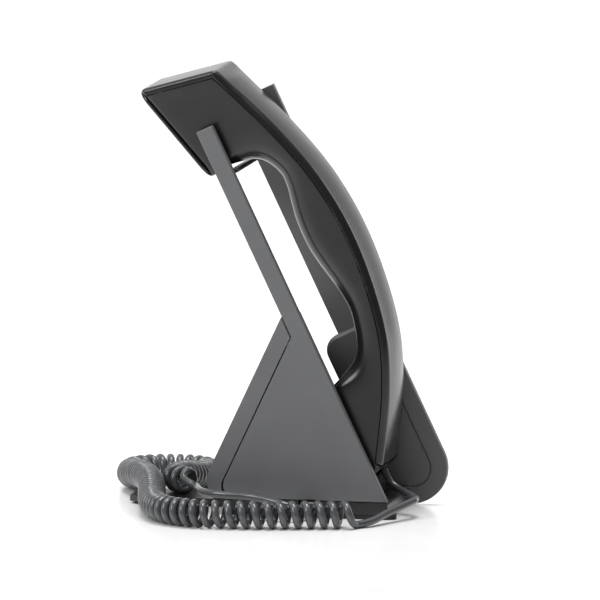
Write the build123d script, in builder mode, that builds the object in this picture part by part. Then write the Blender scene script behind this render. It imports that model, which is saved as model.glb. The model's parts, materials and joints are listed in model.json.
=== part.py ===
from build123d import *
import math
import os

# A corded telephone handset resting on a slim leaning desk stand, with its curly cord.
# X runs from the heel of the stand to its toe, Y from the near side to the far side, +Z is up.
# The origin is on the desk, under the middle of the stand and handset.
# "Leaning" coordinates (v, u) follow the stand: u climbs the leaning front edge, v points forward.

# Stand: driving dimensions in millimetres
LEAN = 25.5                     # lean of the front edge, degrees back from vertical
TOE_X, TOE_Z = 56.5, 8.1        # lowest point of the leaning front edge
NEAR_Y, FAR_Y = -28.0, 28.0     # outer faces of the two sides
SIDE_T = 3.5                    # near side panel and flange of the rear cover
BAR_W, BAR_TOP = 8.4, 198.0     # slim near bar: width and length up the lean
APEX_U = 101.8                  # where the rear leg meets the near bar
LEG_LEAN = 25.2                 # lean of the rear leg, degrees forward from vertical
LEG_STRIP = 8.0                 # visible flange of the rear cover
HEEL_R = 14.0                   # rounded heel of the stand
SEAM = 0.5                      # shadow gap between neighbouring covers
WALL = 2.4                      # moulded wall
FOOT_Z, BASE_Z = 2.4, 8.1       # underside and top of the base plate
PANEL_Z = 8.5                   # lowest edge of the covers above the base plate
FAR_T, TRIM_T = 3.0, 1.0        # far plate, and the band and inset laid on it
FAR_Z = 0.5                     # lowest edge of the far plate
FAR_FRONT, FAR_TOP = 22.6, 202.5
TOE_R = 17.5                    # rounded toe of the far side
BAND_W = 8.0                    # trim band width
CHEEK_U, CHEEK_LOW_U = 81.0, 44.0
CHEEK_V = 18.0                  # front of the cheek beside the mouthpiece
CHEEK_T = 4.4                   # thickness of the cheek
CRADLE_BAR_V, CRADLE_BAR_U = -2.2, 173.7
CRADLE_BAR_W, CRADLE_BAR_T = 9.6, 2.0
REAR_V = -13.0                  # front of the housing between the sides
TONGUE_END, TONGUE_NEAR_Y = -75.0, -3.0
TONGUE_LOW_Z, TONGUE_Z = 1.2, 4.0

# Handset
HAND_Y = -2.0                   # middle plane of the handset
HAND_HALF, GRIP_HALF = 21.0, 18.2
HAND_ROUND = 2.0                # rounding of the long edges of the handset
SHELL = 2.2                     # shell wall
CAP_T = 2.0                     # ear and mouth caps
CAPSULE_R, CAPSULE_T = 13.0, 6.0
MIC_R, MIC_T = 4.8, 4.0

# Line socket in the rear cover
LINE_Y, LINE_Z = -8.0, 17.5
LINE_SOCKET, LINE_DEPTH = (12.0, 7.0), 14.0
LINE_JACK_X = -26.0             # rear face of the line jack

# Handset cord socket in the near side of the base, and its plug
JACK_X, JACK_Z = 19.0, 5.4
JACK_W, JACK_H, JACK_DEPTH = 11.0, 9.0, 17.0
PLUG_W, PLUG_H, PLUG_LENGTH = 7.6, 5.2, 18.0
PLUG_OUT = 3.0                  # how far the plug stands out of the near side

SOCKET_V, SOCKET_U = -1.5, 24.0  # handset socket, in the end of the handset

# Hook switch
PLUNGER_U, PLUNGER_R = 34.0, 2.5
PLUNGER_LENGTH = 11.2

# Cord
WIRE_R = 1.8
COIL_R = 6.8

LEAN_SIN, LEAN_COS = math.sin(math.radians(LEAN)), math.cos(math.radians(LEAN))
LEG_TAN, LEG_COS = math.tan(math.radians(LEG_LEAN)), math.cos(math.radians(LEG_LEAN))
PANEL_IN_Y = NEAR_Y + SIDE_T
PLATE_Y = FAR_Y - FAR_T
TRIM_Y = PLATE_Y - TRIM_T
INSET_Y = PLATE_Y - 0.6


def leaning(v, u):
    """World (x, z) of a point given in the stand's leaning coordinates."""
    return (TOE_X + v * LEAN_COS - u * LEAN_SIN, TOE_Z + v * LEAN_SIN + u * LEAN_COS)


def lean_at(y):
    """Leaning sketch plane at depth y: its local axes are v and u, and it faces the near side."""
    return Plane(origin=(TOE_X, y, TOE_Z), x_dir=(LEAN_COS, 0, LEAN_SIN), z_dir=(0, -1, 0))


def side_at(y):
    """Upright sketch plane at depth y: its local axes are x and z, and it faces the near side."""
    return Plane(origin=(0, y, 0), x_dir=(1, 0, 0), z_dir=(0, -1, 0))


def forward_at(v, u, y=HAND_Y):
    """Plane through a leaning point that faces along v, for bores and round parts."""
    x, z = leaning(v, u)
    return Plane(origin=(x, y, z), x_dir=(0, 1, 0), z_dir=(LEAN_COS, 0, LEAN_SIN))


def leg_u(v, inset=0.0):
    """Leaning height at which the rear leg's edge, moved inward by inset, crosses a given v."""
    rise = (v + BAR_W) * (LEAN_COS - LEAN_SIN * LEG_TAN) - inset / LEG_COS
    return APEX_U + rise / (LEAN_SIN + LEAN_COS * LEG_TAN)


def leg_x(z, inset=0.0):
    """x of the rear leg's edge, moved inward by inset, at height z."""
    apex_x, apex_z = leaning(-BAR_W, APEX_U)
    return apex_x - (apex_z - z) * LEG_TAN + inset / LEG_COS


def stand_outline(y, inset, low_z, heel_r, front_points):
    """Side outline: a rounded heel, the leg's edge, and front points from the toe upward."""
    with BuildSketch(side_at(y)) as outline:
        with BuildLine():
            Polyline((leg_x(low_z, inset), low_z), *front_points, close=True)
        make_face()
        fillet(vertices().sort_by_distance(Vector(leg_x(low_z, inset), low_z, 0))[0], heel_r)
    return outline.sketch


def finish(piece, label):
    piece.part.label = label
    export_step(piece.part, f"parts/{label}.step")


os.makedirs("parts", exist_ok=True)

# ---------------------------------------------------------------- stand: sides and covers

panel_front = [
    (leaning(0, 0.5)[0], PANEL_Z),
    leaning(0, BAR_TOP),
    leaning(-BAR_W, BAR_TOP),
    leaning(-BAR_W, leg_u(-BAR_W, LEG_STRIP + SEAM)),
]
with BuildPart() as near_side_panel:
    extrude(
        stand_outline(PANEL_IN_Y, LEG_STRIP + SEAM, PANEL_Z, HEEL_R - LEG_STRIP, panel_front),
        amount=SIDE_T,
    )
    chamfer(faces().sort_by(Axis.Y)[0].edges(), 0.35)
finish(near_side_panel, "near_side_panel")

flange_v = -BAR_W - SEAM
flange_front = [(leaning(flange_v, 0)[0], FOOT_Z), leaning(flange_v, leg_u(flange_v))]
with BuildPart() as rear_cover:
    extrude(stand_outline(PANEL_IN_Y, 0, FOOT_Z, HEEL_R, flange_front), amount=SIDE_T)
    inside_front = [(TOE_X, PANEL_Z - SEAM), leaning(0, leg_u(0, LEG_STRIP))]
    extrude(
        stand_outline(PANEL_IN_Y, LEG_STRIP, PANEL_Z - SEAM, HEEL_R - LEG_STRIP, inside_front),
        amount=SIDE_T,
        mode=Mode.SUBTRACT,
    )
    wall_front = [(TOE_X, FOOT_Z), leaning(REAR_V, leg_u(REAR_V))]
    extrude(stand_outline(PLATE_Y, 0, FOOT_Z, HEEL_R, wall_front), amount=PLATE_Y - PANEL_IN_Y)
    hollow_front = [(2 * TOE_X, FOOT_Z - WALL), leaning(2 * BAR_W, leg_u(2 * BAR_W, WALL))]
    extrude(
        stand_outline(PLATE_Y, WALL, FOOT_Z - WALL, HEEL_R, hollow_front),
        amount=PLATE_Y - PANEL_IN_Y,
        mode=Mode.SUBTRACT,
    )
    split(bisect_by=Plane.XY.offset(BASE_Z), keep=Keep.TOP)
    with BuildSketch(Plane.YZ.offset(leg_x(LINE_Z))):
        with Locations((LINE_Y, LINE_Z)):
            Rectangle(*LINE_SOCKET)
    extrude(amount=LINE_DEPTH, both=True, mode=Mode.SUBTRACT)
finish(rear_cover, "rear_cover")

far_rear_points = [
    leaning(0, FAR_TOP),
    leaning(0, CHEEK_U),
    leaning(-BAR_W, CHEEK_U),
    leaning(-BAR_W, CHEEK_U - 23),
    leaning(REAR_V, CHEEK_U - 23),
    leaning(REAR_V, leg_u(REAR_V)),
]


def far_toe(inset=0.0):
    """Sharp corner where the far side's front edge would meet its lower edge."""
    u = (FAR_Z + inset - TOE_Z - (FAR_FRONT - inset) * LEAN_SIN) / LEAN_COS
    return leaning(FAR_FRONT - inset, u)


with BuildPart() as far_side_plate:
    with BuildSketch(side_at(FAR_Y)):
        with BuildLine():
            Polyline(
                (leg_x(FAR_Z), FAR_Z),
                far_toe(),
                leaning(FAR_FRONT, FAR_TOP),
                *far_rear_points,
                close=True,
            )
        make_face()
        fillet(vertices().sort_by(Axis.X)[0], HEEL_R)
        fillet(vertices().sort_by(Axis.X)[-1], TOE_R)
        cheek_corner = Vector(*leaning(-BAR_W, CHEEK_U), 0)
        fillet(vertices().sort_by_distance(cheek_corner)[0], 7.5)
    extrude(amount=FAR_T)
    chamfer(faces().sort_by(Axis.Y)[-1].edges(), 0.5)
finish(far_side_plate, "far_side_plate")

with BuildPart() as far_trim_band:
    with BuildSketch(side_at(PLATE_Y)):
        with BuildLine():
            Polyline(
                (leg_x(FAR_Z) + HEEL_R + 2, FAR_Z),
                far_toe(),
                leaning(FAR_FRONT, FAR_TOP),
                leaning(0, FAR_TOP),
                leaning(0, FAR_TOP - 4),
                leaning(FAR_FRONT - BAND_W, FAR_TOP - 4),
                far_toe(BAND_W),
                (leg_x(FAR_Z) + HEEL_R + 2, FAR_Z + BAND_W - 0.6),
                close=True,
            )
        make_face()
        outer_toe = vertices().sort_by(Axis.X)[-1]
        fillet(outer_toe, TOE_R)
        inner_toe = vertices().sort_by_distance(Vector(*far_toe(BAND_W), 0))[0]
        fillet(inner_toe, TOE_R - BAND_W)
    extrude(amount=TRIM_T)
    chamfer(faces().sort_by(Axis.Y)[0].edges(), 0.3)
finish(far_trim_band, "far_trim_band")

with BuildPart() as far_inset_panel:
    with BuildSketch(side_at(PLATE_Y)):
        with BuildLine():
            Polyline(
                (leg_x(FAR_Z) + HEEL_R + 12, FAR_Z + BAND_W + SEAM),
                far_toe(BAND_W + SEAM),
                leaning(FAR_FRONT - BAND_W - SEAM, FAR_TOP - 4 - SEAM),
                leaning(0, FAR_TOP - 4 - SEAM),
                leaning(0, CHEEK_U),
                leaning(REAR_V + WALL, CHEEK_U - 25),
                close=True,
            )
        make_face()
        inner_toe = vertices().sort_by_distance(Vector(*far_toe(BAND_W + SEAM), 0))[0]
        fillet(inner_toe, TOE_R - BAND_W - SEAM)
    extrude(amount=PLATE_Y - INSET_Y)
finish(far_inset_panel, "far_inset_panel")

with BuildPart() as mouthpiece_cheek:
    with BuildSketch(lean_at(TRIM_Y)):
        with Locations(((CHEEK_V - BAR_W) / 2, (CHEEK_U + CHEEK_LOW_U) / 2)):
            Rectangle(CHEEK_V + BAR_W, CHEEK_U - CHEEK_LOW_U)
        rear_corners = vertices().sort_by(Axis.X)[:2]
        fillet(rear_corners, 8)
        front_corners = vertices().sort_by(Axis.X)[-2:]
        fillet(front_corners, 2.5)
    extrude(amount=CHEEK_T)
    fillet(faces().sort_by(Axis.Y)[0].edges(), 2)
finish(mouthpiece_cheek, "mouthpiece_cheek")

# The housing between the sides: a front wall behind the mouthpiece, and a shelf for the hook switch
front_wall = [
    (REAR_V, leg_u(REAR_V, WALL) - 1.0),
    (REAR_V, 62.0),
    (-24.5, 12.2),
    (-24.5 - WALL, 13.2),
    (REAR_V - WALL, 62.6),
    (REAR_V - WALL, leg_u(REAR_V - WALL, WALL) - 1.0),
]
with BuildPart() as cradle_housing:
    with BuildSketch(lean_at(TRIM_Y - 0.2)):
        with BuildLine():
            Polyline(*front_wall, close=True)
        make_face()
    extrude(amount=TRIM_Y - 0.2 - PANEL_IN_Y)
    with BuildSketch(lean_at(HAND_Y + 5)):
        with Locations((-30.5, PLUNGER_U - 7)):
            Rectangle(21, WALL)
    extrude(amount=10)
    with BuildSketch(forward_at(-22, PLUNGER_U)):
        Circle(PLUNGER_R + 0.3)
    extrude(amount=8, both=True, mode=Mode.SUBTRACT)
finish(cradle_housing, "cradle_housing")

with BuildPart() as cradle_rest:
    rest_back = leaning(-22.5, 13.8)
    rest_front = leaning(-3.5, 13.8)
    with BuildSketch(side_at(HAND_Y + HAND_HALF)):
        with BuildLine():
            Polyline(
                (rest_back[0], BASE_Z),
                (rest_front[0], BASE_Z),
                rest_front,
                rest_back,
                close=True,
            )
        make_face()
    extrude(amount=2 * HAND_HALF)
    fillet(edges().filter_by(Axis.Y).sort_by(Axis.Z)[-1], 1.5)
finish(cradle_rest, "cradle_rest")

with BuildPart() as upper_cradle_bar:
    with BuildSketch(lean_at(INSET_Y)):
        with Locations((CRADLE_BAR_V, CRADLE_BAR_U)):
            RectangleRounded(CRADLE_BAR_W, CRADLE_BAR_T, 0.9)
    extrude(amount=INSET_Y - PANEL_IN_Y)
finish(upper_cradle_bar, "upper_cradle_bar")

# ---------------------------------------------------------------- stand: base

BASE_SCREWS = [(-4, -8), (-4, 8), (46, -10), (46, 2)]
HEEL_FRONT = [(TOE_X, FOOT_Z), (TOE_X, 3 * BASE_Z), (leg_x(3 * BASE_Z), 3 * BASE_Z)]
with BuildPart() as base_plate:
    base_outline = stand_outline(TRIM_Y, 0, FOOT_Z, HEEL_R, HEEL_FRONT)
    extrude(base_outline, amount=TRIM_Y - NEAR_Y - 0.4)
    split(bisect_by=Plane.XY.offset(BASE_Z), keep=Keep.BOTTOM)
    with BuildSketch(Plane.XY.offset(TONGUE_LOW_Z)):
        with BuildLine():
            Polyline(
                (TONGUE_END, TONGUE_NEAR_Y + 4),
                (TONGUE_END + 5, TONGUE_NEAR_Y),
                (-10, TONGUE_NEAR_Y),
                (-10, TRIM_Y),
                (TONGUE_END + 5, TRIM_Y),
                (TONGUE_END, TRIM_Y - 4),
                close=True,
            )
        make_face()
    extrude(amount=TONGUE_Z - TONGUE_LOW_Z)
    with BuildSketch(Plane.XY):
        with Locations((JACK_X, NEAR_Y)):
            Rectangle(JACK_W + 0.4, 2 * (JACK_DEPTH + SIDE_T + 0.2))
    extrude(amount=BASE_Z, mode=Mode.SUBTRACT)
    with Locations(Plane.XY.offset(FOOT_Z).rotated((180, 0, 0))):
        with Locations(*[(x, -y) for x, y in BASE_SCREWS]):
            CounterBoreHole(1.4, 2.8, 1.8)
    toe_edges = edges().filter_by(Axis.Y).filter_by_position(Axis.X, TOE_X - 0.1, TOE_X + 0.1)
    fillet(toe_edges.sort_by(Axis.Z)[-1], 1.2)
finish(base_plate, "base_plate")

# Rubber feet: (x, y, length, width), the first under the near toe
feet = [(40, -23.5, 40, 7), (43, 13, 26, 10), (-14, -20, 18, 9)]
with BuildPart() as rubber_feet:
    with BuildSketch():
        for foot_x, foot_y, length, width in feet:
            with Locations((foot_x, foot_y)):
                RectangleRounded(length, width, 3)
    extrude(amount=FOOT_Z)
    with BuildSketch():
        with Locations((TONGUE_END + 9, 10.5), (-36, 10.5)):
            RectangleRounded(14, 22, 3)
    extrude(amount=TONGUE_LOW_Z)
finish(rubber_feet, "rubber_feet")

# ---------------------------------------------------------------- handset

EAR_TIP, EAR_LOW = (-28.0, 227.0), (-13.5, 174.7)
MOUTH_HIGH, MOUTH_LOW = (-9.6, 61.5), (-21.0, 16.5)
grip_edge = [(-4.3, 177.2), (10.2, 173.9), (16.6, 165), (17.2, 157), (14.4, 141), (14.0, 127), (15.6, 116)]
grip_foot = [(19.4, 97), (18.6, 84.5), (12.3, 69.3), (-4.9, 60.2)]
back_edge = [(10.5, 221), (25.4, 184.1), (34.7, 150.8), (37.1, 115.5), (31.9, 76.2), (20.8, 47.3)]
back_foot = (3.5, 17.2)
seam_edge = [(4.0, 216.0), (20.0, 182), (29.5, 149.5), (32.0, 115.5), (26.9, 78.5), (16.3, 50)]
hollow_grip = [(-4, 180.2), (11, 177), (19.5, 165.5), (17.2, 134), (22.2, 95), (14.6, 67.8), (-4, 57.7)]
hollow_back = [(8, 216), (22.4, 182), (31.6, 150), (34.0, 115.5), (29.0, 78), (17.6, 48), (1, 19)]


def moved_in(start, end, depth):
    """A line's two leaning points, moved forward, square to it, by depth."""
    along_v, along_u = end[0] - start[0], end[1] - start[1]
    length = math.hypot(along_v, along_u)
    shift_v, shift_u = depth * along_u / length, -depth * along_v / length
    return [(v + shift_v, u + shift_u) for v, u in (start, end)]


def body_outline():
    """Side profile of the whole handset, without its ear and mouth caps."""
    ear_low, ear_tip = moved_in(EAR_LOW, EAR_TIP, CAP_T)
    mouth_low, mouth_high = moved_in(MOUTH_LOW, MOUTH_HIGH, CAP_T)
    Polyline(back_edge[0], ear_tip, ear_low, grip_edge[0])
    Spline(*grip_edge, *grip_foot)
    Polyline(grip_foot[-1], mouth_high, mouth_low, (-2.0, 14.4), back_foot)
    Spline(back_foot, *reversed(back_edge))


def hollow_outline():
    """Side profile of the space inside the handset, one wall inside its outside."""
    ear_low, ear_tip = moved_in(EAR_LOW, EAR_TIP, CAP_T + SHELL)
    mouth_low, mouth_high = moved_in(MOUTH_LOW, MOUTH_HIGH, CAP_T + SHELL)
    Polyline(hollow_back[0], (ear_tip[0] + 1, ear_tip[1] - SHELL - 1), (ear_low[0], 179.5), hollow_grip[0])
    Spline(*hollow_grip)
    Polyline(hollow_grip[-1], (mouth_high[0], 57), (mouth_low[0], 17.5), hollow_back[-1])
    Spline(*reversed(hollow_back))


def back_outline(shift):
    """Everything behind the seam between the two shells, moved back by shift."""
    seam = [(v + shift, u) for v, u in seam_edge]
    Polyline(seam[0], (-30, 232), (60, 232), (60, 0), (-2 + shift, 0), (-2 + shift, 14), seam[-1])
    Spline(*seam)


def handset_solid(outline, half_end, half_grip, round_r):
    """A handset profile given its width, narrower at the grip, with rounded long edges."""
    with BuildPart() as solid:
        with BuildSketch(lean_at(HAND_Y)):
            with BuildLine():
                outline()
            make_face()
        extrude(amount=half_end, both=True)
        with BuildSketch(forward_at(-60, 0)):
            with BuildLine():
                right = ThreePointArc((half_end, 0), (half_grip, 118), (half_end, 240))
                left = ThreePointArc((-half_end, 0), (-half_grip, 118), (-half_end, 240))
                Line(right @ 0, left @ 0)
                Line(right @ 1, left @ 1)
            make_face()
        extrude(amount=120, mode=Mode.INTERSECT)
        if round_r:
            sides = faces().sort_by(Axis.Y)
            fillet(sides[0].edges() + sides[-1].edges(), round_r)
    return solid.part


def handset_shell(shift, keep_back):
    """One of the two shells: the hollow body on one side of the seam."""
    with BuildPart() as shell:
        add(body)
        add(hollow, mode=Mode.SUBTRACT)
        with BuildSketch(lean_at(HAND_Y)):
            with BuildLine():
                back_outline(shift)
            make_face()
        extrude(amount=2 * HAND_HALF, both=True, mode=Mode.INTERSECT if keep_back else Mode.SUBTRACT)
        with BuildSketch(lean_at(HAND_Y)):
            with Locations((SOCKET_V, SOCKET_U - 10)):
                Rectangle(PLUG_H + 0.6, 14)
        extrude(amount=PLUG_W / 2 + 0.3, both=True, mode=Mode.SUBTRACT)
    return shell.part


body = handset_solid(body_outline, HAND_HALF, GRIP_HALF, HAND_ROUND)
hollow = handset_solid(hollow_outline, HAND_HALF - SHELL, GRIP_HALF - SHELL, 0)


def facing(start, end, depth, share=0.5):
    """Plane on the line between two leaning points, sunk by depth, facing out of the handset."""
    first, last = moved_in(start, end, depth)
    near_x, near_z = leaning(*first)
    far_x, far_z = leaning(*last)
    centre = (near_x + (far_x - near_x) * share, HAND_Y, near_z + (far_z - near_z) * share)
    return Plane(origin=centre, x_dir=(0, 1, 0), z_dir=(near_z - far_z, 0, far_x - near_x))


EAR_MID, MOUTH_MID = 0.46, 0.72
ear_seat = facing(EAR_LOW, EAR_TIP, CAP_T, EAR_MID)
mouth_seat = facing(MOUTH_LOW, MOUTH_HIGH, CAP_T, MOUTH_MID)

with BuildPart() as handset_front_shell:
    add(handset_shell(0, False))
    with BuildSketch(ear_seat):
        Circle(CAPSULE_R - 3)
    extrude(amount=6, both=True, mode=Mode.SUBTRACT)
    with BuildSketch(mouth_seat):
        Circle(MIC_R - 1.5)
    extrude(amount=6, both=True, mode=Mode.SUBTRACT)
finish(handset_front_shell, "handset_front_shell")

with BuildPart() as handset_back_shell:
    add(handset_shell(0.15, True))
finish(handset_back_shell, "handset_back_shell")


def sound_cap(start, end, centre_share, hole_rows, hole_r):
    """A thin cap over one end's face, with its ring of sound holes."""
    length = math.hypot(end[0] - start[0], end[1] - start[1])
    with BuildPart() as cap:
        with BuildSketch(facing(start, end, CAP_T - 0.1)):
            RectangleRounded(2 * HAND_HALF - 3, length - 1.5, 7)
        extrude(amount=CAP_T - 0.1)
        fillet(faces().sort_by(Axis.X)[0].edges(), 0.8)
        with BuildSketch(facing(start, end, CAP_T, centre_share)):
            for ring_r, count in hole_rows:
                with PolarLocations(ring_r, count):
                    Circle(hole_r)
        extrude(amount=2 * CAP_T, both=True, mode=Mode.SUBTRACT)
    return cap.part


with BuildPart() as ear_cap:
    add(sound_cap(EAR_LOW, EAR_TIP, EAR_MID, [(3.5, 6), (7.0, 12)], 0.8))
finish(ear_cap, "ear_cap")

with BuildPart() as mouth_cap:
    add(sound_cap(MOUTH_LOW, MOUTH_HIGH, MOUTH_MID, [(2.0, 4)], 0.7))
finish(mouth_cap, "mouth_cap")

with BuildPart() as receiver_gasket:
    with BuildSketch(facing(EAR_LOW, EAR_TIP, CAP_T + SHELL + 1.2, EAR_MID)):
        Circle(CAPSULE_R)
        Circle(CAPSULE_R - 2.5, mode=Mode.SUBTRACT)
    extrude(amount=-1.2)
finish(receiver_gasket, "receiver_gasket")

with BuildPart() as receiver_capsule:
    with BuildSketch(facing(EAR_LOW, EAR_TIP, CAP_T + SHELL + 2.4, EAR_MID)):
        Circle(CAPSULE_R)
    extrude(amount=-CAPSULE_T)
    fillet(edges().filter_by(GeomType.CIRCLE), 0.6)
finish(receiver_capsule, "receiver_capsule")

with BuildPart() as microphone_boot:
    with BuildSketch(facing(MOUTH_LOW, MOUTH_HIGH, CAP_T + SHELL + 0.8, MOUTH_MID)):
        Circle(MIC_R + 1.5)
        Circle(MIC_R, mode=Mode.SUBTRACT)
    extrude(amount=-MIC_T - 1)
finish(microphone_boot, "microphone_boot")

with BuildPart() as microphone_capsule:
    with BuildSketch(facing(MOUTH_LOW, MOUTH_HIGH, CAP_T + SHELL + 1.0, MOUTH_MID)):
        Circle(MIC_R)
    extrude(amount=-MIC_T)
finish(microphone_capsule, "microphone_capsule")

with BuildPart() as handset_weight:
    with BuildSketch(lean_at(HAND_Y + 9)):
        with Locations((27.2, 118)):
            RectangleRounded(5.4, 46, 1.5)
    extrude(amount=18)
finish(handset_weight, "handset_weight")

with BuildPart() as handset_socket:
    with BuildSketch(lean_at(HAND_Y)):
        with Locations((SOCKET_V - 0.4, SOCKET_U + 7)):
            Rectangle(PLUG_H + 2, 14)
    extrude(amount=PLUG_W / 2 + 1.7, both=True)
    with BuildSketch(lean_at(HAND_Y)):
        with Locations((SOCKET_V, SOCKET_U + 3)):
            Rectangle(PLUG_H + 0.4, 18)
    extrude(amount=PLUG_W / 2 + 0.2, both=True, mode=Mode.SUBTRACT)
finish(handset_socket, "handset_socket")

with BuildPart() as handset_screws:
    for screw_v, screw_u in ((17.0, 60.0), (26.0, 163.0)):
        with BuildSketch(forward_at(screw_v, screw_u)):
            Circle(1.4)
        extrude(amount=-5)
finish(handset_screws, "handset_screws")

# ---------------------------------------------------------------- inside the stand

plunger_v = -17.2
with BuildPart() as hook_plunger:
    with BuildSketch(forward_at(plunger_v, PLUNGER_U)):
        Circle(PLUNGER_R)
    extrude(amount=-PLUNGER_LENGTH)
    fillet(edges().sort_by(Axis.X)[-1], 1)
    with BuildSketch(forward_at(plunger_v - PLUNGER_LENGTH, PLUNGER_U)):
        Circle(PLUNGER_R + 1.5)
    extrude(amount=1.4)
finish(hook_plunger, "hook_plunger")

with BuildPart() as hook_spring:
    with BuildSketch(forward_at(plunger_v - PLUNGER_LENGTH - 0.1, PLUNGER_U)):
        Circle(PLUNGER_R)
        Circle(PLUNGER_R - 0.6, mode=Mode.SUBTRACT)
    extrude(amount=-3.8)
finish(hook_spring, "hook_spring")

with BuildPart() as hook_switch:
    with BuildSketch(lean_at(HAND_Y)):
        with Locations((plunger_v - 18.5, PLUNGER_U - 0.3)):
            Rectangle(6.4, 11)
    extrude(amount=5, both=True)
finish(hook_switch, "hook_switch")

PCB_Z, PCB_T = 11.5, 1.6
with BuildPart() as pcb_standoffs:
    with BuildSketch(Plane.XY.offset(BASE_Z)):
        with Locations((-7, 0)):
            with GridLocations(24, 32, 2, 2):
                Circle(2.2)
                Circle(1.0, mode=Mode.SUBTRACT)
    extrude(amount=PCB_Z - BASE_Z)
finish(pcb_standoffs, "pcb_standoffs")

with BuildPart() as main_pcb:
    with BuildSketch(Plane.XY.offset(PCB_Z)):
        with Locations((-7, 0)):
            Rectangle(32, 40)
            with GridLocations(24, 32, 2, 2):
                Circle(1.1, mode=Mode.SUBTRACT)
    extrude(amount=PCB_T)
finish(main_pcb, "main_pcb")

with BuildPart() as line_jack:
    with BuildSketch(Plane.YZ.offset(LINE_JACK_X)):
        with Locations((LINE_Y, LINE_Z)):
            Rectangle(14, 8.6)
    extrude(amount=14)
    with BuildSketch(Plane.YZ.offset(LINE_JACK_X)):
        with Locations((LINE_Y, LINE_Z)):
            Rectangle(*LINE_SOCKET)
    extrude(amount=12, mode=Mode.SUBTRACT)
finish(line_jack, "line_jack")

with BuildPart() as cord_jack:
    with BuildSketch(Plane.XZ.offset(-PANEL_IN_Y - 0.1)):
        with Locations((JACK_X, FOOT_Z + 0.1 + JACK_H / 2)):
            Rectangle(JACK_W, JACK_H)
    extrude(amount=-JACK_DEPTH)
    with BuildSketch(Plane.XZ.offset(-PANEL_IN_Y - 0.1)):
        with Locations((JACK_X, JACK_Z)):
            Rectangle(PLUG_W + 0.4, PLUG_H + 0.4)
    extrude(amount=-12, mode=Mode.SUBTRACT)
finish(cord_jack, "cord_jack")

with BuildPart() as base_screws:
    for screw_x, screw_y in BASE_SCREWS:
        with BuildSketch(Plane.XY.offset(FOOT_Z + 0.1)):
            with Locations((screw_x, screw_y)):
                Circle(2.6)
                RegularPolygon(1.2, 6, mode=Mode.SUBTRACT)
        extrude(amount=1.6)
        with BuildSketch(Plane.XY.offset(FOOT_Z + 1.3)):
            with Locations((screw_x, screw_y)):
                Circle(1.3)
        extrude(amount=4.4)
finish(base_screws, "base_screws")

with BuildPart() as ballast_weight:
    with BuildSketch(Plane.XY.offset(BASE_Z + 0.1)):
        with Locations((-7, 0)):
            RectangleRounded(29, 24, 2)
    extrude(amount=2.8)
finish(ballast_weight, "ballast_weight")

# ---------------------------------------------------------------- cord

lead_v, lead_u = SOCKET_V, SOCKET_U - PLUG_LENGTH / 2
with BuildPart() as plug_handset:
    with BuildSketch(lean_at(HAND_Y)):
        with Locations((lead_v, lead_u + PLUG_LENGTH / 2)):
            RectangleRounded(PLUG_H, PLUG_LENGTH, 0.8)
    extrude(amount=PLUG_W / 2, both=True)
finish(plug_handset, "plug_handset")

with BuildPart() as plug_base:
    with BuildSketch(side_at(NEAR_Y - PLUG_OUT)):
        with Locations((JACK_X, JACK_Z)):
            Rectangle(PLUG_W, PLUG_H)
    extrude(amount=-PLUG_LENGTH + 2)
    chamfer(faces().sort_by(Axis.Y)[0].edges(), 0.8)
finish(plug_base, "plug_base")

lead_start = leaning(lead_v, lead_u - 0.3)
HANDSET_LEAD = [
    (lead_start[0], HAND_Y, lead_start[1]), (51.3, -2, 15.6), (56.5, -4, 11.8), (64, -9.5, 9.4),
    (67, -16, 8.6), (64.3, -23.5, 7.6), (57.5, -38, 5.0), (54, -49, 2.6), (49.1, -55.2, 1.85),
    (42.3, -57, 1.85),
]
COIL_ROUTE = [
    (42.3, -57, 6.8), (20, -63, 6.8), (-2, -68, 6.8), (-24, -69.5, 6.8), (-41, -64, 6.8),
    (-52, -49, 6.8), (-57, -33, 7.2), (-60, -18, 9.4), (-63.5, -4, 11.2), (-68.5, 10, 11.3),
    (-74.5, 24, 11.0), (-80.5, 37, 8.6), (-86, 50, 6.9), (-87, 62, 6.8), (-80, 71, 6.8),
    (-69, 74.5, 6.8), (-58, 73, 6.8), (-50, 66, 6.8), (-48.5, 54, 6.9), (-51.5, 41, 8.6),
    (-54.5, 28, 11.0), (-56, 17, 11.3), (-53, 8, 11.1), (-44.7, 2.6, 10.9),
]
BASE_LEAD = [
    (-46.7, -1.1, 9.9), (-43, -5.5, 10.6), (-39.5, -13, 11.3), (-37, -22, 11.7), (-33.5, -31, 11.6),
    (-26.5, -36, 11.4), (-17, -37.5, 11.2), (-7, -38, 11.0), (3, -42.5, 10.0), (13, -45.5, 7.8),
    (19, -39.5, 5.7), (19, NEAR_Y - PLUG_OUT, JACK_Z),
]


def route_radii(points):
    """Bend radius at each corner: 0.45 of the shorter run, over the tangent of half the turn."""
    corners = [Vector(*point) for point in points]
    runs = [after - before for before, after in zip(corners, corners[1:])]
    return [
        0.45 * min(a.length, b.length) / math.tan(math.radians(a.get_angle(b) / 2))
        for a, b in zip(runs, runs[1:])
    ]


def tube(points, radius, label):
    """A plain round tube along straight runs joined by tangent arcs."""
    radii = route_radii(points)
    with BuildPart() as piece:
        with BuildLine():
            path = FilletPolyline(*points, radius=radii)
        with BuildSketch(Plane(origin=path @ 0, z_dir=path % 0)):
            Circle(radius)
        sweep()
    share = piece.part.volume / (math.pi * radius**2 * path.length)
    print(label, "length", round(path.length, 1), "volume over section times length", round(share, 3))
    print(label, "radii", [round(bend, 1) for bend in radii])
    finish(piece, label)


tube(HANDSET_LEAD, WIRE_R, "cord_lead_handset")
tube(COIL_ROUTE, COIL_R, "cord_coil")
tube(BASE_LEAD, WIRE_R, "cord_lead_base")
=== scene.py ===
import json
import math

import bmesh
import bpy
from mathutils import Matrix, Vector, geometry


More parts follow.
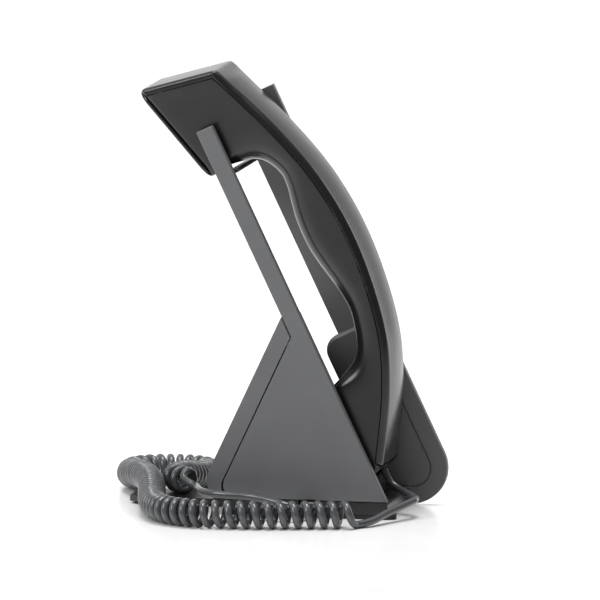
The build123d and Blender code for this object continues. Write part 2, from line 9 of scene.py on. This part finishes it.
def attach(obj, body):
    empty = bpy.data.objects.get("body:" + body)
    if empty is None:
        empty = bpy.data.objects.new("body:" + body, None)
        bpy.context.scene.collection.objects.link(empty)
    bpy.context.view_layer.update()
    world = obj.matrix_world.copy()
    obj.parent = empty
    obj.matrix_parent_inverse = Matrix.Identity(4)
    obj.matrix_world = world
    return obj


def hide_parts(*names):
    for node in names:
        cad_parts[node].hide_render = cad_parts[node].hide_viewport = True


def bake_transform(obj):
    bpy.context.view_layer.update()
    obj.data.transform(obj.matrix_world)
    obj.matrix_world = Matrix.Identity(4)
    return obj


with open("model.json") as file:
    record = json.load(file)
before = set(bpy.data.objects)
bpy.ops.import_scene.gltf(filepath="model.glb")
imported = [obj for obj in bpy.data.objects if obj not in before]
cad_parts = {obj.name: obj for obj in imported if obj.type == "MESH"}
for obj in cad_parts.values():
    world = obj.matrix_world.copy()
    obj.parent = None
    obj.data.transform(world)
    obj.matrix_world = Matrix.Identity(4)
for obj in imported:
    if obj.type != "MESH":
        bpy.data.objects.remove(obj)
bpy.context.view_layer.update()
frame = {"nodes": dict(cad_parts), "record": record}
nodes = frame["nodes"]

# A corded telephone handset on its desk stand. Lengths are in millimetres unless a comment says metres.
MM = 0.001

# ---------------------------------------------------------------- camera, in metres

TARGET = Vector((0.0082, 0.0, 0.1005))
AZIMUTH, ELEVATION = math.radians(12), math.radians(8)
DISTANCE, VIEW_WIDTH, SENSOR = 10.0, 0.2857, 36.0

back = Vector((
    math.sin(AZIMUTH) * math.cos(ELEVATION),
    -math.cos(AZIMUTH) * math.cos(ELEVATION),
    math.sin(ELEVATION),
))
camera_data = bpy.data.cameras.new("camera")
camera_data.sensor_width = SENSOR
camera_data.lens = SENSOR * DISTANCE / VIEW_WIDTH
camera_data.clip_end = 20 * DISTANCE
camera = bpy.data.objects.new("camera", camera_data)
camera.location = TARGET + back * DISTANCE
camera.rotation_euler = (-back).to_track_quat("-Z", "Y").to_euler()
bpy.context.collection.objects.link(camera)
bpy.context.scene.camera = camera

# ---------------------------------------------------------------- cord

WIRE_R = 1.8
HELIX_R = 5.0                   # from the coil's route to the middle of its wire
TURN_POINTS = 16                # points in one turn of the coil
HANDSET_LEAD = [
    (49.43, -2, 21.0), (51.3, -2, 15.6), (56.5, -4, 11.8), (64.5, -9.5, 9.5), (68.5, -16, 8.8),
    (65.5, -23.5, 7.7), (58, -38, 5.0), (54, -49, 2.6), (50.2, -53.4, 2.1),
]
COIL_ROUTE = [
    (42.3, -57, 6.8), (20, -63, 6.8), (-2, -68, 6.8), (-24, -69.5, 6.8), (-41, -64, 6.8),
    (-52, -49, 6.8), (-57, -33, 7.2), (-60, -18, 9.4), (-63.5, -4, 11.2), (-68.5, 10, 11.3),
    (-74.5, 24, 11.0), (-80.5, 37, 8.6), (-86, 50, 6.9), (-87, 62, 6.8), (-80, 71, 6.8),
    (-69, 74.5, 6.8), (-58, 73, 6.8), (-50, 66, 6.8), (-48.5, 54, 6.9), (-51.5, 41, 8.6),
    (-54.5, 28, 11.0), (-56, 17, 11.3), (-53, 8, 11.1), (-44.7, 2.6, 10.9),
]
BASE_LEAD = [
    (-43, -5.5, 10.6), (-39.5, -13, 11.3), (-37, -22, 11.7), (-33.5, -31, 11.6), (-26.5, -36, 11.4),
    (-17, -37.5, 11.2), (-7, -38, 11.0), (3, -42.5, 10.0), (13, -45.5, 7.8), (19, -39.5, 5.7),
    (19, -31, 5.4),
]
UP = Vector((0, 0, 1))
WIRE_SMOOTHNESS, ROUTE_SMOOTHNESS = 4, 24


def cord_curve(name, points, thickness):
    """An open NURBS curve of order 3 on control points, as round wire if it has a thickness.

    The thickness is in the points' radius, so that the curve's bounding box is the wire's own.
    """
    data = bpy.data.curves.new(name, "CURVE")
    data.dimensions = "3D"
    data.resolution_u = WIRE_SMOOTHNESS if thickness else ROUTE_SMOOTHNESS
    data.bevel_depth = 1.0 if thickness else 0.0
    data.bevel_resolution = 5
    data.use_fill_caps = True
    spline = data.splines.new("NURBS")
    spline.points.add(len(points) - 1)
    for knot, point in zip(spline.points, points):
        knot.co = (*(Vector(point) * MM), 1)
        knot.radius = thickness / 2 * MM
    spline.order_u = 3
    spline.use_endpoint_u = True
    piece = bpy.data.objects.new(name, data)
    bpy.context.collection.objects.link(piece)
    return piece


def curve_line(points):
    """The points of the smooth line that a route's control points give, in millimetres."""
    piece = cord_curve("route", points, 0)
    mesh = bpy.data.meshes.new_from_object(piece)
    line = [v.co / MM for v in mesh.vertices]
    bpy.data.objects.remove(piece)
    return line


def line_length(line):
    """Length of a line of points."""
    return sum((b - a).length for a, b in zip(line, line[1:]))


def smoothstep(share):
    """0 to 1, with no slope at either end."""
    share = min(max(share, 0), 1)
    return share * share * (3 - 2 * share)


LEAD_IN, LEAD_OUT = 8.0, 7.0    # how far the first turn uncurls, and the last one
OPEN_PITCH, CLOSE_PITCH = 6.2, 3.78
OPEN_UNTIL, CLOSE_FROM = 50.0, 92.0
FIRST_PHASE, LAST_PHASE = math.radians(-20), math.radians(262)
FIRST_RATE, LAST_RATE = 0.12, 0.08  # share of the full winding rate at the coil's two ends
STEP = 0.1                      # sampling along the route
BEND_WINDOW = 40                # samples to each side that a bend is measured over


def helix(route):
    """The wire's points round the coil's route: open turns first, close ones after, wider apart in a bend."""
    line = curve_line(route)
    start = line[0] + (line[0] - line[1]).normalized() * LEAD_IN
    line.insert(0, start)
    total = line_length(line)
    samples = []
    walked, leg = 0.0, 0
    count = int(total / STEP)
    for index in range(count + 1):
        along = index * total / count
        while leg < len(line) - 2 and along > walked + (line[leg + 1] - line[leg]).length:
            walked += (line[leg + 1] - line[leg]).length
            leg += 1
        heading = (line[leg + 1] - line[leg]).normalized()
        samples.append((line[leg] + heading * (along - walked), heading))
    step = total / count
    phases = [FIRST_PHASE]
    for index in range(1, count + 1):
        along = index * step - LEAD_IN
        before = samples[max(index - BEND_WINDOW, 0)][1]
        after = samples[min(index + BEND_WINDOW, count)][1]
        bend = before.angle(after) / (2 * BEND_WINDOW * step)
        spread = smoothstep((along - OPEN_UNTIL) / (CLOSE_FROM - OPEN_UNTIL))
        pitch = max(OPEN_PITCH + (CLOSE_PITCH - OPEN_PITCH) * spread, CLOSE_PITCH / (1 - HELIX_R * bend))
        rate = 2 * math.pi / pitch
        rate *= FIRST_RATE + (1 - FIRST_RATE) * smoothstep(index * step / (1.5 * LEAD_IN))
        rate *= LAST_RATE + (1 - LAST_RATE) * smoothstep((count - index) * step / LEAD_OUT)
        phases.append(phases[-1] + rate * step)
    turns = round((phases[-1] - LAST_PHASE) / (2 * math.pi))
    stretch = (LAST_PHASE + 2 * math.pi * turns - FIRST_PHASE) / (phases[-1] - FIRST_PHASE)
    points, wanted = [], FIRST_PHASE
    part = 2 * math.pi / TURN_POINTS
    for (centre, heading), phase in zip(samples, phases):
        turned = FIRST_PHASE + (phase - FIRST_PHASE) * stretch
        if turned < wanted:
            continue
        wanted += part
        left = UP.cross(heading).normalized()
        over = heading.cross(left)
        reach = HELIX_R / math.cos(part / 2) ** 0.5
        points.append(centre + (left * math.sin(turned) - over * math.cos(turned)) * reach)
    return points


lead_line = curve_line(HANDSET_LEAD)
lead_curve = cord_curve("lead_route", HANDSET_LEAD, 2 * WIRE_R)
lead_curve.data.resolution_u = 12
lead_curve.data.bevel_resolution = 8
lead_mesh = bpy.data.meshes.new_from_object(lead_curve)
bpy.data.objects.remove(lead_curve)
handset_wire = bpy.data.objects.new("handset_wire", lead_mesh)
bpy.context.collection.objects.link(handset_wire)

turns = helix(COIL_ROUTE)
curly_points = [Vector(HANDSET_LEAD[-1])] + turns[1:] + [Vector(p) for p in BASE_LEAD]
curly_wire = cord_curve("curly_wire", curly_points, 2 * WIRE_R)
curly_line = curve_line(curly_points)

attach(curly_wire, "stand")
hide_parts("cord_coil", "cord_lead_base")
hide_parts("cord_lead_handset")
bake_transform(handset_wire)

# ---------------------------------------------------------------- handset

# The handset's two shells, in the stand's leaning coordinates: v forward, u up the lean.
LEAN = math.radians(25.5)
TOE_X, TOE_Z, HAND_Y = 56.5, 8.1, -2.0
END_HALF, GRIP_HALF = 21.0, 18.2
GRIP_U, END_REACH = 118.0, 122.0  # where it is narrowest, and how far from there it is END_HALF
SEAM_DEPTH, SEAM_GAP = 3.3, 0.4   # how far in from the back edge the groove is, and its width
LIP, LIP_IN = 1.2, 0.3            # how far the shells turn in at the groove
BACK_CROWN, TOP_CROWN = 1.0, 0.3
ROUND_REACH = 22.0                # length over which a run's rounding grows from its ends
SPACING = 1.0                     # between points of the outline
SMOOTHINGS = 3                    # passes that soften the outline's corners
CURVE_STEPS, SEAM_STEPS, ROUND_STEPS, ACROSS_STEPS = 16, 3, 8, 12
FLANK_MARGIN = 0.4                # flat strip left between the flank's rim and the groove
FLANK_V, FLANK_SPACING, FLANK_COLUMNS, FLANK_CLEAR = -28.0, (3.6, 4.0), 20, 1.6
MERGE = 0.00002                   # metres
SHARP_SHELL, SHARP_PART = math.radians(38), math.radians(32)
# The outline's runs, in order round the side profile
EAR_CORNER, BACK_FOOT = (11.3, 221.2), (4.0, 17.0)
TOP_RUN = [EAR_CORNER, (-26.0, 227.4)]
CAP_RUN = [(-26.0, 227.4), (-11.6, 175.3)]
GRIP_RUN = [
    (-11.6, 175.3), (-4.3, 177.2), (10.2, 173.9), (16.6, 165), (17.2, 157), (14.4, 141), (14.0, 127),
    (15.6, 116), (19.4, 97), (18.6, 84.5), (12.3, 69.3), (-4.9, 60.2), (-7.7, 61.0),
]
MOUTH_RUN = [(-7.7, 61.0), (-19.0, 16.0)]
FOOT_RUN = [(-19.0, 16.0), (-2.0, 14.4), BACK_FOOT]
BACK_RUN = [
    BACK_FOOT, (21.5, 46.8), (32.7, 75.8), (37.9, 115.5), (35.5, 151), (26.2, 184.4), EAR_CORNER,
]
# Each run with: curved or straight, long edge rounding at its ends and middle, crown, on the back shell
RUNS = [
    (TOP_RUN, False, (2.0, 2.0), TOP_CROWN, True),
    (CAP_RUN, False, (1.6, 1.6), 0.0, False),
    (GRIP_RUN, True, (2.0, 9.0), 0.0, False),
    (MOUTH_RUN, False, (1.6, 1.6), 0.0, False),
    (FOOT_RUN, False, (2.0, 2.0), 0.0, False),
    (BACK_RUN, True, (2.6, 4.2), BACK_CROWN, True),
]


def spaced(points, gap):
    """Points about gap apart along a line of points."""
    total = line_length(points)
    count = max(int(total / gap), 2)
    out, leg, walked = [points[0]], 0, 0.0
    for index in range(1, count):
        along = total * index / count
        while along > walked + (points[leg + 1] - points[leg]).length:
            walked += (points[leg + 1] - points[leg]).length
            leg += 1
        out.append(points[leg] + (points[leg + 1] - points[leg]).normalized() * (along - walked))
    return out


def catmull(points):
    """A smooth line through the points."""
    ends = [2 * points[0] - points[1], *points, 2 * points[-1] - points[-2]]
    line = []
    for a, b, c, d in zip(ends, ends[1:], ends[2:], ends[3:]):
        for index in range(CURVE_STEPS):
            t = index / CURVE_STEPS
            line.append(0.5 * (2 * b + (c - a) * t + (2 * a - 5 * b + 4 * c - d) * t**2
                               + (3 * b - a - 3 * c + d) * t**3))
    return line + [points[-1]]


def handset_outline():
    """The closed outline as (point, long edge rounding, crown, belongs to the back shell) in order."""
    places = []
    for points, curved, (end_round, middle_round), crown, behind in RUNS:
        line = [Vector(p) for p in points]
        line = spaced(catmull(line) if curved else line, SPACING)
        for index, place in enumerate(line):
            grown = smoothstep(min(index, len(line) - index) * SPACING / ROUND_REACH)
            rounding = end_round + (middle_round - end_round) * grown
            places.append((place, rounding, crown * min(grown * 3, 1), behind))
    for _ in range(SMOOTHINGS):
        smoothed = []
        for index, (place, *rest) in enumerate(places):
            other = (places[index - 1][0] + places[(index + 1) % len(places)][0]) / 2
            smoothed.append((place.lerp(other, 0.5), *rest))
        places = smoothed
    return places


def half_width(u):
    """Half the handset's width: narrowest at the grip, growing in a curve towards the ends."""
    share = (u - GRIP_U) / END_REACH
    return GRIP_HALF + (END_HALF - GRIP_HALF) * share * share


def in_world(place, y):
    """A handset point in metres, from its leaning (v, u) and its distance from the middle plane."""
    v, u = place
    x = TOE_X + v * math.cos(LEAN) - u * math.sin(LEAN)
    z = TOE_Z + v * math.sin(LEAN) + u * math.cos(LEAN)
    return (x * MM, (HAND_Y + y) * MM, z * MM)


class Shell:
    """A mesh that grows from rows of points."""

    def __init__(self):
        self.points, self.faces = [], []

    def row(self, row):
        """Add a row of points, given as (v, u) and distance from the middle; returns their numbers."""
        first = len(self.points)
        self.points.extend(in_world(place, y) for place, y in row)
        return list(range(first, first + len(row)))

    def skin(self, rows, count):
        """Join each numbered row to the next one round the outline, where that one is there too."""
        made = {index: self.row(row) for index, row in rows}
        for index, one in made.items():
            two = made.get((index + 1) % count)
            if two:
                self.faces.extend(zip(one, one[1:], two[1:], two))

    def build(self, name):
        """The finished object: doubles merged, unused points dropped, shaded smooth."""
        mesh = bpy.data.meshes.new(name)
        mesh.from_pydata(self.points, [], self.faces)
        work = bmesh.new()
        work.from_mesh(mesh)
        bmesh.ops.remove_doubles(work, verts=work.verts, dist=MERGE)
        unused = [point for point in work.verts if not point.link_faces]
        bmesh.ops.delete(work, geom=unused, context="VERTS")
        bmesh.ops.recalc_face_normals(work, faces=work.faces)
        work.to_mesh(mesh)
        work.free()
        mesh.shade_smooth()
        mesh.set_sharp_from_angle(angle=SHARP_SHELL)
        piece = bpy.data.objects.new(name, mesh)
        bpy.context.collection.objects.link(piece)
        return piece


def edge_point(place, inward, depth, rounding):
    """A point on the near half of the rounded edge, depth in from the outline."""
    width = half_width(place.y)
    turned = math.asin(1 - depth / rounding) if depth < rounding else 0.0
    return place + inward * depth, width - rounding * (1 - math.cos(turned))


def inward_at(places, index):
    """Direction square to the outline, into the handset."""
    along = places[(index + 1) % len(places)][0] - places[index - 1][0]
    return Vector((-along.y, along.x)).normalized()


def flank_rim(place, inward, rounding, behind):
    """How deep the flat flank's rim is, and the rim's point."""
    deepest = max(rounding, SEAM_DEPTH + SEAM_GAP + FLANK_MARGIN) if behind else rounding
    return deepest, edge_point(place, inward, deepest, rounding)


def groove_row(place, inward, rounding, deepest):
    """The front shell's strip from the flank's rim to the groove, turned in there."""
    groove = SEAM_DEPTH + SEAM_GAP
    row = [
        edge_point(place, inward, deepest + (groove - deepest) * step / SEAM_STEPS, rounding)
        for step in range(SEAM_STEPS + 1)
    ]
    return row + [(row[-1][0] + inward * LIP_IN, row[-1][1] - LIP)]


def section(place, inward, rounding, crown, behind):
    """The row over the edge from the near flank to the far one; on the back shell it starts at the groove."""
    start, near = 0.0, []
    if behind:
        start = math.asin(1 - SEAM_DEPTH / rounding) if SEAM_DEPTH < rounding else 0.0
        first = edge_point(place, inward, SEAM_DEPTH, rounding)
        near = [(first[0], first[1] - LIP), first]
    for step in range(ROUND_STEPS + 1):
        angle = start + (math.pi / 2 - start) * step / ROUND_STEPS
        near.append(edge_point(place, inward, rounding * (1 - math.sin(angle)), rounding))
    flat = near[-1][1]
    across = [
        (place - inward * crown * (1 - share * share), flat * share)
        for share in [1 - 2 * step / ACROSS_STEPS for step in range(1, ACROSS_STEPS)]
    ]
    return near + across + [(p, -y) for p, y in reversed(near)]


def flank(rim):
    """The flat flank inside its rim: points with their distance from the middle, and triangles."""
    ring = [p for p, _ in rim]
    low, high = min(p.y for p in ring), max(p.y for p in ring)
    across, up = FLANK_SPACING
    inner = []
    for row in range(int((high - low) / up)):
        for column in range(FLANK_COLUMNS):
            spot = Vector((FLANK_V + across * column, low + up * (row + 0.5)))
            if min((spot - p).length for p in ring) > FLANK_CLEAR:
                inner.append(spot)
    edges = [(k, (k + 1) % len(ring)) for k in range(len(ring))]
    points, _, triangles, *_ = geometry.delaunay_2d_cdt(ring + inner, edges, [], 1, 0.0001)
    on_rim = [k < len(ring) and (p - ring[k]).length < 0.001 for k, p in enumerate(points)]
    widths = [rim[k][1] if on_rim[k] else half_width(p.y) for k, p in enumerate(points)]
    return list(zip(points, widths)), triangles


def handset_shells():
    """The front and back shells, parted by a fine groove just in front of the back edge."""
    places = handset_outline()
    count = len(places)
    rim, groove_rows, front_rows, back_rows = [], [], [], []
    for index, (place, rounding, crown, behind) in enumerate(places):
        inward = inward_at(places, index)
        deepest, rim_point = flank_rim(place, inward, rounding, behind)
        rim.append(rim_point)
        rows = back_rows if behind else front_rows
        rows.append((index, section(place, inward, rounding, crown, behind)))
        if behind:
            groove_rows.append((index, groove_row(place, inward, rounding, deepest)))
    front, rear = Shell(), Shell()
    front.skin(front_rows, count)
    rear.skin(back_rows, count)
    flank_points, triangles = flank(rim)
    for side in (1, -1):
        front.skin([(index, [(p, side * y) for p, y in row]) for index, row in groove_rows], count)
        made = front.row([(p, side * y) for p, y in flank_points])
        front.faces.extend(tuple(made[k] for k in triangle) for triangle in triangles)
    return front.build("front_shell"), rear.build("back_shell")


front_shell, back_shell = handset_shells()
for shell, part in ((front_shell, "front"), (back_shell, "back")):
    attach(shell, "handset")
    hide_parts("handset_" + part + "_shell")

# ---------------------------------------------------------------- materials


def new_material(name):
    """An empty node material with its output and a Principled shader."""
    material = bpy.data.materials.new(name)
    material.use_nodes = True
    tree = material.node_tree
    return material, tree, tree.nodes["Principled BSDF"]


def noise(tree, scale, detail):
    """A noise texture in the object's own coordinates."""
    place = tree.nodes.new("ShaderNodeTexCoord")
    grain = tree.nodes.new("ShaderNodeTexNoise")
    grain.inputs["Scale"].default_value = scale
    grain.inputs["Detail"].default_value = detail
    tree.links.new(place.outputs["Object"], grain.inputs["Vector"])
    return grain.outputs["Fac"]


def ranged(tree, value, low, high, start=0.3, stop=0.7):
    """The value, taken from start to stop, spread from low to high. Noise mostly lies from 0.3 to 0.7."""
    spread = tree.nodes.new("ShaderNodeMapRange")
    spread.inputs["From Min"].default_value = start
    spread.inputs["From Max"].default_value = stop
    spread.inputs["To Min"].default_value = low
    spread.inputs["To Max"].default_value = high
    tree.links.new(value, spread.inputs["Value"])
    return spread.outputs["Result"]


def mottled(tree, shader, dark, light, scale, detail):
    """Colour the shader between two tones by a soft noise."""
    mix = tree.nodes.new("ShaderNodeMix")
    mix.data_type = "RGBA"
    mix.inputs[6].default_value = (*dark, 1)
    mix.inputs[7].default_value = (*light, 1)
    tree.links.new(ranged(tree, noise(tree, scale, detail), 0, 1), mix.inputs[0])
    tree.links.new(mix.outputs[2], shader.inputs["Base Color"])


COLOUR_VARIATION, GLOSS_VARIATION = 0.06, 0.12


def moulded(name, colour, roughness, grain_scale=1600, grain_depth=0.00002, edge=0.0004, metallic=0.0):
    """Moulded plastic or plain metal: slight mottling, uneven gloss, a fine grain and softened edges."""
    material, tree, shader = new_material(name)
    dark = [c * (1 - COLOUR_VARIATION) for c in colour]
    light = [c * (1 + COLOUR_VARIATION) for c in colour]
    mottled(tree, shader, dark, light, 35, 4)
    low, high = roughness * (1 - GLOSS_VARIATION), roughness * (1 + GLOSS_VARIATION)
    tree.links.new(ranged(tree, noise(tree, 90, 5), low, high), shader.inputs["Roughness"])
    soft = tree.nodes.new("ShaderNodeBevel")
    soft.samples = 4
    soft.inputs["Radius"].default_value = edge
    bump = tree.nodes.new("ShaderNodeBump")
    bump.inputs["Strength"].default_value = 0.5
    bump.inputs["Distance"].default_value = grain_depth
    tree.links.new(noise(tree, grain_scale, 2), bump.inputs["Height"])
    tree.links.new(soft.outputs["Normal"], bump.inputs["Normal"])
    tree.links.new(bump.outputs["Normal"], shader.inputs["Normal"])
    shader.inputs["Metallic"].default_value = metallic
    return material


GREY = (0.118, 0.120, 0.124)
paints = {
    "stand_charcoal": moulded("stand_charcoal", GREY, 0.46),
    "trim_grey": moulded("trim_grey", GREY, 0.46),
    "stand_black": moulded("stand_black", (0.018, 0.018, 0.019), 0.36),
    "handset_front": moulded("handset_front", (0.009, 0.009, 0.010), 0.24),
    "handset_back": moulded("handset_back", (0.012, 0.012, 0.013), 0.24),
    "soft_rubber": moulded("soft_rubber", (0.012, 0.012, 0.012), 0.75, grain_depth=0.00005),
    "cord_grey": moulded("cord_grey", (0.070, 0.072, 0.076), 0.20, edge=0.0002),
    "plug_clear": moulded("plug_clear", (0.050, 0.050, 0.052), 0.20),
    "socket_black": moulded("socket_black", (0.014, 0.014, 0.015), 0.50),
    "steel": moulded("steel", (0.55, 0.55, 0.56), 0.32, grain_scale=700, metallic=1.0),
    "board_green": moulded("board_green", (0.02, 0.12, 0.05), 0.45),
    "capsule_metal": moulded("capsule_metal", (0.62, 0.62, 0.62), 0.35, metallic=1.0),
}
slots = {part["node"]: part["material_slot"] for part in frame["record"]["subparts"]}
for name, node in nodes.items():
    mesh = node.data
    mesh.materials.clear()
    mesh.materials.append(paints[slots[name]])
    mesh.shade_smooth()
    mesh.set_sharp_from_angle(angle=SHARP_PART)
curly_wire.data.materials.append(paints["cord_grey"])
handset_wire.data.materials.append(paints["cord_grey"])
handset_wire.data.shade_smooth()
front_shell.data.materials.append(paints["handset_front"])
back_shell.data.materials.append(paints["handset_back"])

# ---------------------------------------------------------------- floor and light


def floor_material():
    """A pale, slightly glossy table top."""
    material, tree, shader = new_material("floor")
    mottled(tree, shader, (0.90, 0.90, 0.90), (0.94, 0.94, 0.94), 3, 2)
    tree.links.new(ranged(tree, noise(tree, 40, 3), 0.16, 0.20), shader.inputs["Roughness"])
    return material


FLOOR = 12.0                    # metres from the middle to each edge
floor_mesh = bpy.data.meshes.new("floor")
corners = [(-FLOOR, -FLOOR), (FLOOR, -FLOOR), (FLOOR, FLOOR), (-FLOOR, FLOOR)]
floor_mesh.from_pydata([(x, y, 0) for x, y in corners], [], [(0, 1, 2, 3)])
floor = bpy.data.objects.new("floor", floor_mesh)
floor.data.materials.append(floor_material())
bpy.context.collection.objects.link(floor)

# The studio behind the object is plain white; the light from it is strongest behind and weakest on the right.
FRONT_LIGHT, BACK_LIGHT, RIGHT_SHARE = 0.12, 1.15, 0.12
world = bpy.data.worlds.new("studio")
bpy.context.scene.world = world
world.use_nodes = True
sky = world.node_tree
backdrop = sky.nodes["Background"]
backdrop.inputs["Color"].default_value = (1, 1, 1, 1)
backdrop.inputs["Strength"].default_value = 1.0
around = sky.nodes.new("ShaderNodeBackground")
around.inputs["Color"].default_value = (1, 1, 1, 1)
heading = sky.nodes.new("ShaderNodeTexCoord")
split = sky.nodes.new("ShaderNodeSeparateXYZ")
sky.links.new(heading.outputs["Generated"], split.inputs["Vector"])
both = sky.nodes.new("ShaderNodeMath")
both.operation = "MULTIPLY"
sky.links.new(ranged(sky, split.outputs["Y"], FRONT_LIGHT, BACK_LIGHT, -0.9, 0.9), both.inputs[0])
sky.links.new(ranged(sky, split.outputs["X"], 1.0, RIGHT_SHARE, -0.2, 0.75), both.inputs[1])
sky.links.new(both.outputs["Value"], around.inputs["Strength"])
rays = sky.nodes.new("ShaderNodeLightPath")
blend = sky.nodes.new("ShaderNodeMixShader")
sky.links.new(rays.outputs["Is Camera Ray"], blend.inputs["Fac"])
sky.links.new(around.outputs["Background"], blend.inputs[1])
sky.links.new(backdrop.outputs["Background"], blend.inputs[2])
sky.links.new(blend.outputs["Shader"], sky.nodes["World Output"].inputs["Surface"])


def soft_light(name, place, power, size):
    """A soft rectangular light that faces the object: place and size in metres, power in watts."""
    data = bpy.data.lights.new(name, "AREA")
    data.shape = "RECTANGLE"
    data.size, data.size_y = size
    data.energy = power
    light = bpy.data.objects.new(name, data)
    light.location = place
    light.rotation_euler = (Vector(place) - TARGET).to_track_quat("Z", "Y").to_euler()
    light.visible_camera = False
    bpy.context.collection.objects.link(light)


soft_light("key", (-0.9, -1.0, 1.0), 15, (0.7, 0.9))
soft_light("top", (0.2, 0.1, 1.5), 14, (1.2, 1.2))
soft_light("rim", (1.0, 1.3, 0.4), 3.5, (0.3, 1.1))

overhead = bpy.data.lights.new("overhead", "SUN")
overhead.energy = 1.5
overhead.angle = math.radians(24)
overhead_light = bpy.data.objects.new("overhead", overhead)
overhead_light.location = (0, 0, 3)
bpy.context.collection.objects.link(overhead_light)
bpy.context.scene.view_settings.view_transform = "Standard"

bpy.context.view_layer.update()
